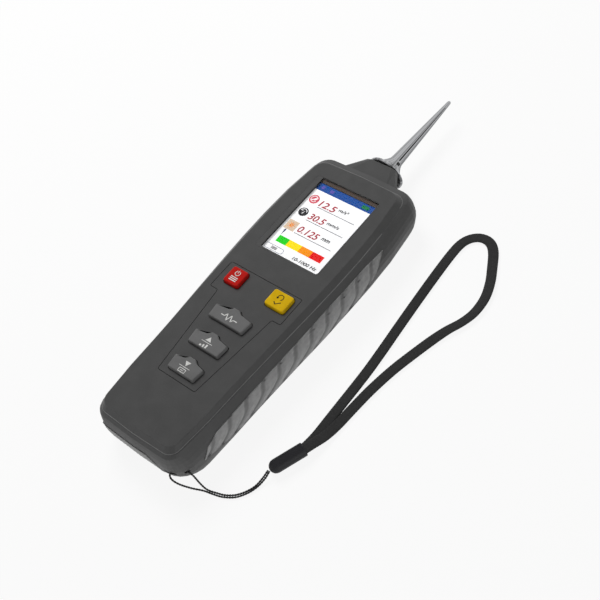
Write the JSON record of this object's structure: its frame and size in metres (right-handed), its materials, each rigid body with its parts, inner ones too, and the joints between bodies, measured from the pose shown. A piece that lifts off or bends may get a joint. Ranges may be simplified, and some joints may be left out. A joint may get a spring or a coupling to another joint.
{
  "type": "handheld vibration meter",
  "caption": "Handheld vibration meter with colour display, power, enter, measure and up and down keys, soft side grips, screwed-in spike probe, and wrist strap on a string",
  "frame": {"origin": "On the flat back face that lies on the floor, on its long midline, 91.5 mm from the foot end", "axes": "+X to the meter's right seen from the front, +Y along the casing to the probe, +Z out of the display"},
  "size_m": [0.1258, 0.2616, 0.03],
  "materials": {
    "casing": "fine-textured ABS moulding",
    "grip": "soft overmoulded elastomer with darker waves",
    "lens": "clear hard-coated window, printed dark border behind",
    "gasket": "black foam",
    "panel": "glass of a colour display, lit from behind",
    "carrier": "natural nylon",
    "ribbon": "polyimide film",
    "red_key": "moulded key, symbol printed white",
    "yellow_key": "moulded key, symbol printed black",
    "grey_key": "moulded key, symbol printed white",
    "silicone": "moulded silicone",
    "black_plastic": "black moulded plastic",
    "board": "green solder mask",
    "steel": "turned or stamped stainless steel",
    "cell_wrap": "printed sleeve, left plain",
    "ceramic": "fired piezoelectric ceramic",
    "tungsten": "sintered heavy alloy",
    "cable": "thin PVC lead",
    "string": "twisted polyester thread",
    "webbing": "woven tubular polyester"
  },
  "bodies": {
    "casing": {"rear_shell": "casing", "front_shell": "casing", "left_grip": "grip", "right_grip": "grip", "foot_grip": "grip", "keypad_plate": "casing", "display_lens": "lens", "display_gasket": "gasket", "display_module": "panel", "display_carrier": "carrier", "display_ribbon": "ribbon", "keypad_mat": "silicone", "key_switches": "black_plastic", "main_board": "board", "board_chips": "black_plastic", "quartz_crystal": "steel", "buzzer": "black_plastic", "battery_cells": "cell_wrap", "battery_contacts": "steel", "sensor_case": "steel", "sensor_cap": "steel", "piezo_rings": "ceramic", "seismic_mass": "tungsten", "sensor_bolt": "steel", "sensor_cable": "cable", "cable_socket": "carrier", "case_screws": "steel", "board_screws": "steel", "lanyard_string": "string", "lanyard_bead": "black_plastic", "wrist_strap": "webbing"},
    "cover_body": {"battery_cover": "casing"},
    "probe_body": {"probe": "steel"},
    "power_button": {"power_key": "red_key"},
    "enter_button": {"enter_key": "yellow_key"},
    "measure_button": {"measure_key": "grey_key"},
    "up_button": {"up_key": "grey_key"},
    "down_button": {"down_key": "grey_key"}
  },
  "joints": [
    {"name": "power_press", "type": "slide", "parent": "casing", "child": "power_button", "axis": [0, 0, -1], "range_m": [0, 0.0008], "stiffness_N_per_m": 320},
    {"name": "enter_press", "type": "slide", "parent": "casing", "child": "enter_button", "axis": [0, 0, -1], "range_m": [0, 0.0008], "stiffness_N_per_m": 320},
    {"name": "measure_press", "type": "slide", "parent": "casing", "child": "measure_button", "axis": [0, 0, -1], "range_m": [0, 0.0008], "stiffness_N_per_m": 320},
    {"name": "up_press", "type": "slide", "parent": "casing", "child": "up_button", "axis": [0, 0, -1], "range_m": [0, 0.0008], "stiffness_N_per_m": 320},
    {"name": "down_press", "type": "slide", "parent": "casing", "child": "down_button", "axis": [0, 0, -1], "range_m": [0, 0.0008], "stiffness_N_per_m": 320},
    {"name": "cover_slide", "type": "slide", "parent": "casing", "child": "cover_body", "axis": [0, -1, 0], "range_m": [0, 0.07]},
    {"name": "probe_unscrew", "type": "slide", "parent": "casing", "child": "probe_body", "axis": [0, 1, 0], "range_m": [0, 0.012]}
  ]
}
